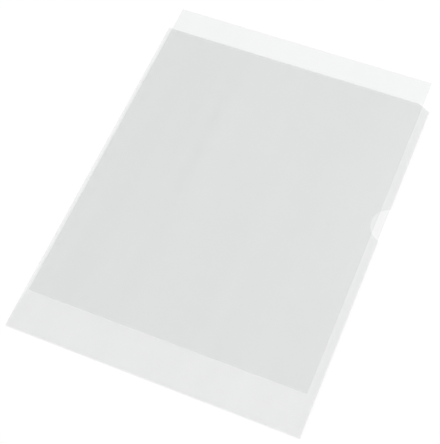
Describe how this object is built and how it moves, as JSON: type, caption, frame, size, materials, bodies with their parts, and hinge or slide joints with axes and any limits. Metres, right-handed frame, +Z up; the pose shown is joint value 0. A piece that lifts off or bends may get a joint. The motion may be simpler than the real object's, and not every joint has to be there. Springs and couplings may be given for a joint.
{
  "type": "document folder",
  "caption": "Clear L-shaped document folder of folded and welded film, open along the top and right, with a thumb notch and a see-through sheet pulled part way out.",
  "frame": {"origin": "middle of the back leaf's underside, on the surface the folder lies on, measured on the folder without the sheet", "axes": "+X from the fold towards the open side, +Y from the weld towards the open top, +Z up out of the front leaf"},
  "size_m": [0.2258, 0.3111, 0.0011],
  "materials": {
    "clear_film": "clear polypropylene film with a fine satin grain",
    "document_film": "clear polyester sheet with a faint haze"
  },
  "bodies": {
    "pocket": {"back_leaf": "clear_film", "fold_bend": "clear_film", "bottom_weld": "clear_film", "front_leaf_held": "clear_film"},
    "front_corner": {"front_leaf_corner": "clear_film"},
    "sheet": {"document_sheet": "document_film"}
  },
  "joints": [
    {"name": "corner_lift", "type": "hinge", "parent": "pocket", "child": "front_corner", "pos_m": [0.00777, 0.0096, 0.00097], "axis": [0.6148, -0.7887, 0], "range_deg": [0, 50]},
    {"name": "sheet_slide", "type": "slide", "parent": "pocket", "child": "sheet", "axis": [0, 1, 0], "range_m": [-0.027, 0.2571]}
  ]
}
